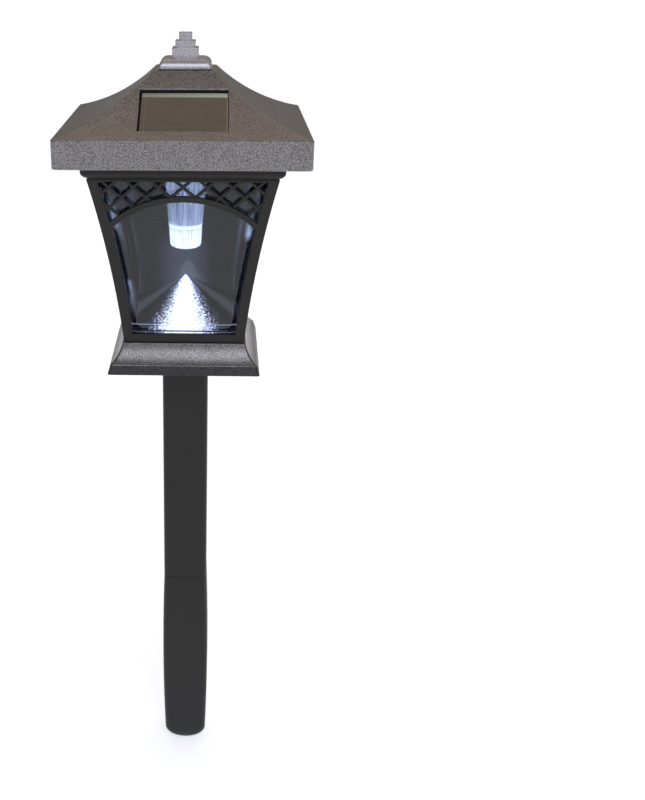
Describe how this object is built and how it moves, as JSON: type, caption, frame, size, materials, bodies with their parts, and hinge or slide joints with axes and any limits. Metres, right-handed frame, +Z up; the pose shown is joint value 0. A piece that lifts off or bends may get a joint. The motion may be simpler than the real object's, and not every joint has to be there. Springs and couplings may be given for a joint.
{
  "type": "solar garden light",
  "caption": "Square pagoda-roofed solar lantern on a post with a ground stake: roof solar panel, latticed window panels round a smoked lens box, lamp lens and stippled reflector.",
  "frame": {"origin": "the tip of the ground stake, on the post axis", "axes": "+Z up along the post; -Y is the front, the side with the solar panel; +X is to the right seen from the front"},
  "size_m": [0.126, 0.126, 0.4386],
  "materials": {
    "roof_abs": "fine spark-eroded grain, dark pewter grey with a faint metallic flake",
    "stem_abs": "charcoal moulded plastic, satin",
    "tray_abs": "black moulded plastic",
    "smoked_acrylic": "polished, smoked, transparent",
    "clear_acrylic": "polished, clear, lit from inside",
    "reflector_styrene": "stippled pearl white",
    "solar_glass": "amorphous silicon behind glass, olive brown",
    "seal_foam": "closed-cell adhesive foam",
    "screw_steel": "zinc plated",
    "contact_steel": "nickel plated spring steel",
    "cell_sleeve": "printed shrink sleeve, plain",
    "wire_pvc": "PVC insulation",
    "board_laminate": "green solder mask",
    "chip_epoxy": "black epoxy",
    "ferrite": "wound ferrite",
    "led_epoxy": "clear epoxy",
    "knob_plastic": "black moulded plastic"
  },
  "bodies": {
    "ground_stake": {"ground_stake": "stem_abs"},
    "post": {"post_tube": "stem_abs"},
    "lantern": {"base_flange": "roof_abs", "base_screws": "screw_steel", "lens_box": "smoked_acrylic", "reflector_pyramid": "reflector_styrene", "cornice_ring": "stem_abs", "window_panel_front": "stem_abs", "window_panel_right": "stem_abs", "window_panel_back": "stem_abs", "window_panel_left": "stem_abs"},
    "roof": {"roof_shell": "roof_abs", "finial": "roof_abs", "finial_screw": "screw_steel", "solar_panel": "solar_glass", "panel_seal": "seal_foam", "panel_leads": "wire_pvc", "cap_tray": "tray_abs", "tray_screws": "screw_steel", "aa_battery": "cell_sleeve", "battery_spring": "contact_steel", "battery_contact": "contact_steel", "battery_leads": "wire_pvc", "circuit_board": "board_laminate", "board_screws": "screw_steel", "controller_chip": "chip_epoxy", "boost_inductor": "ferrite", "led": "led_epoxy", "led_lens": "clear_acrylic", "switch_body": "chip_epoxy", "switch_leads": "wire_pvc"},
    "battery_door": {"battery_door": "tray_abs"},
    "switch_knob": {"switch_knob": "knob_plastic"}
  },
  "joints": [
    {"name": "post_lift", "type": "slide", "parent": "ground_stake", "child": "post", "axis": [0, 0, 1], "range_m": [0, 0.045]},
    {"name": "lantern_lift", "type": "slide", "parent": "post", "child": "lantern", "axis": [0, 0, 1], "range_m": [0, 0.032]},
    {"name": "roof_lift", "type": "slide", "parent": "lantern", "child": "roof", "axis": [0, 0, 1], "range_m": [0, 0.06]},
    {"name": "battery_door_hinge", "type": "hinge", "parent": "roof", "child": "battery_door", "pos_m": [0, 0.037, 0.3772], "axis": [1, 0, 0], "range_deg": [0, 80]},
    {"name": "switch_slide", "type": "slide", "parent": "roof", "child": "switch_knob", "axis": [1, 0, 0], "range_m": [0, 0.003]}
  ]
}
